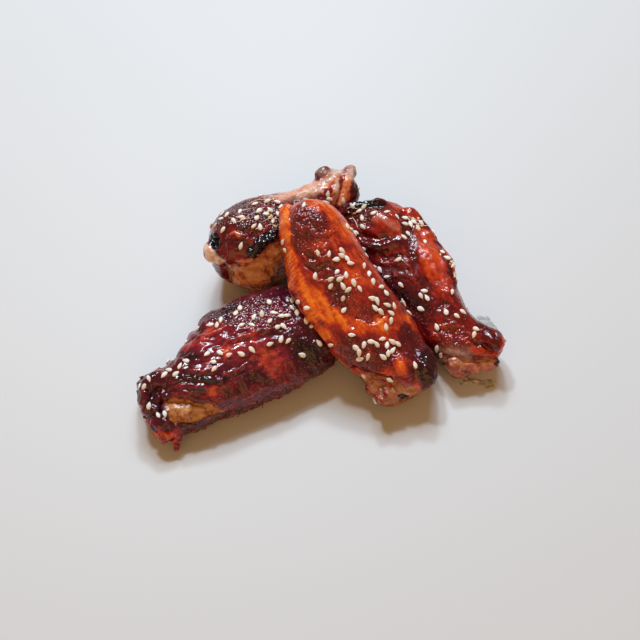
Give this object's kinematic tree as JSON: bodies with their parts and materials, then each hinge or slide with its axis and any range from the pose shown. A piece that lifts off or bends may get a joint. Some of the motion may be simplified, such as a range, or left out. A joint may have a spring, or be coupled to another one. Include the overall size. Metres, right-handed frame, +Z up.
{
  "type": "chicken wings serving",
  "caption": "Heap of sticky glazed chicken wing pieces, flats and a drumette, charred at the edges and strewn with sesame seeds, lying as served with a flat rest on the table.",
  "frame": {"origin": "on the table under the middle of the heap's box", "axes": "+Z up; +X towards the right as served, along the heap's longest side; +Y towards the back"},
  "size_m": [0.118, 0.1002, 0.0388],
  "materials": {
    "glaze_drumette": "charred, sticky and glossy, bare pale meat at the cut end",
    "glaze_front": "thin glossy glaze on roasted skin",
    "glaze_left": "thick dark glossy glaze",
    "glaze_right": "thick glossy glaze with charred ends"
  },
  "bodies": {
    "root": {"drumette": "glaze_drumette", "wing_front": "glaze_front", "wing_left": "glaze_left", "wing_right": "glaze_right"}
  },
  "joints": []
}
